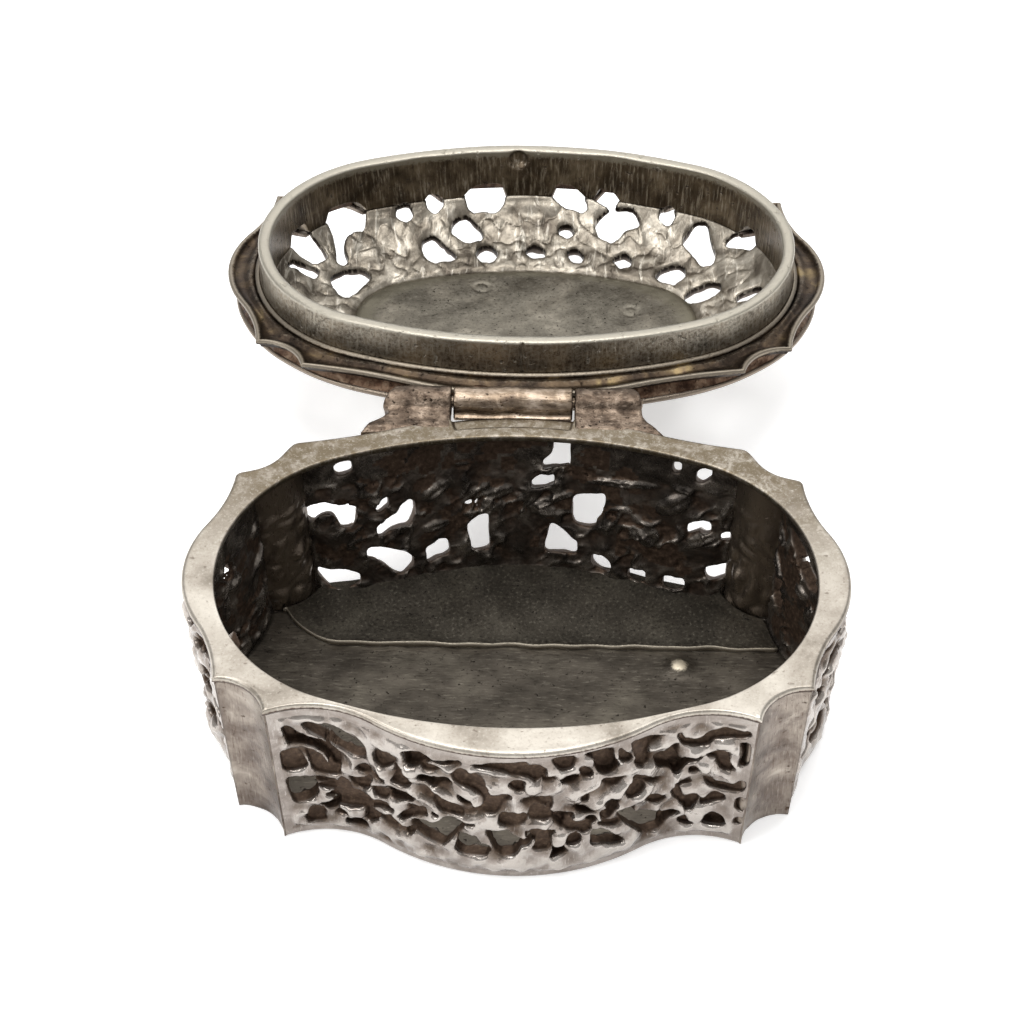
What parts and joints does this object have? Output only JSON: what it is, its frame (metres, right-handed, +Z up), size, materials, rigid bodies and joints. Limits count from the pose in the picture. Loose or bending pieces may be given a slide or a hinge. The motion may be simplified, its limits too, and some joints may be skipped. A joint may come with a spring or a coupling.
{
  "type": "pill box",
  "caption": "Small hinged metal pill box with serpentine pierced sides, fluted corners, an oval mouth and a domed lid that throws back on a rear hinge.",
  "frame": {"origin": "middle of the flat underside of the base plate, the face the box stands on", "axes": "+X to the right as seen from the front, +Y back towards the hinge and the open lid, +Z up"},
  "size_m": [0.05, 0.0722, 0.0171],
  "materials": {
    "chased_silver": "cast relief, dark in the recesses",
    "polished_silver": "worn bright",
    "floor_silver": "dull, finely brushed, grey-green tarnish",
    "hinge_silver": "worn, pitted",
    "collar_silver": "upright file marks",
    "dome_silver": "back of the repousse work, matt",
    "tarnished_silver": "dark brown tarnish"
  },
  "bodies": {
    "body": {"base_plate": "floor_silver", "rear_floor_sheet": "floor_silver", "front_panel": "chased_silver", "rear_panel": "chased_silver", "left_panel": "chased_silver", "right_panel": "chased_silver", "front_left_flute": "chased_silver", "front_right_flute": "chased_silver", "rear_left_flute": "chased_silver", "rear_right_flute": "chased_silver", "rim_plate": "polished_silver", "left_hinge_ear": "hinge_silver", "right_hinge_ear": "hinge_silver", "hinge_pin": "hinge_silver"},
    "lid": {"lid_flange": "tarnished_silver", "lid_band": "tarnished_silver", "lid_collar": "collar_silver", "collar_bead": "collar_silver", "lid_dome": "dome_silver", "lid_medallion": "dome_silver", "lid_hinge_knuckle": "hinge_silver"}
  },
  "joints": [
    {"name": "lid_hinge", "type": "hinge", "parent": "body", "child": "lid", "pos_m": [0, 0.01895, 0.015], "axis": [1, 0, 0], "range_deg": [0, 186.6]}
  ]
}
